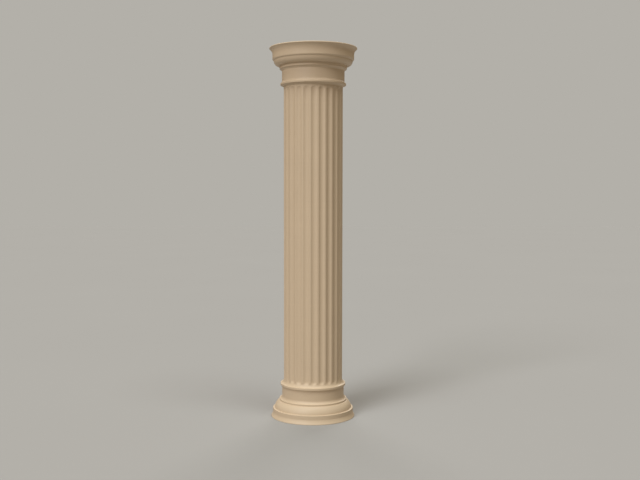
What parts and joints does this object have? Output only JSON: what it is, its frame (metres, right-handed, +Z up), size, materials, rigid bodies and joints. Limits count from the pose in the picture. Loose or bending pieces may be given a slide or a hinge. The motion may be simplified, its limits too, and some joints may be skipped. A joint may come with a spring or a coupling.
{
  "type": "doric column",
  "caption": "Desk-size model of a Roman Doric column: round fluted shaft between a turned capital and base, made in one piece, standing on its flat underside.",
  "frame": {"origin": "centre of the round underside, on the surface that the column stands on", "axes": "+Z up along the column's axis; a flute is centred on each of +X, -X, +Y and -Y"},
  "size_m": [0.0476, 0.0476, 0.2],
  "materials": {
    "beige_plastic": "matte, with the fine layer lines of a printed piece"
  },
  "bodies": {
    "root": {"column": "beige_plastic"}
  },
  "joints": []
}
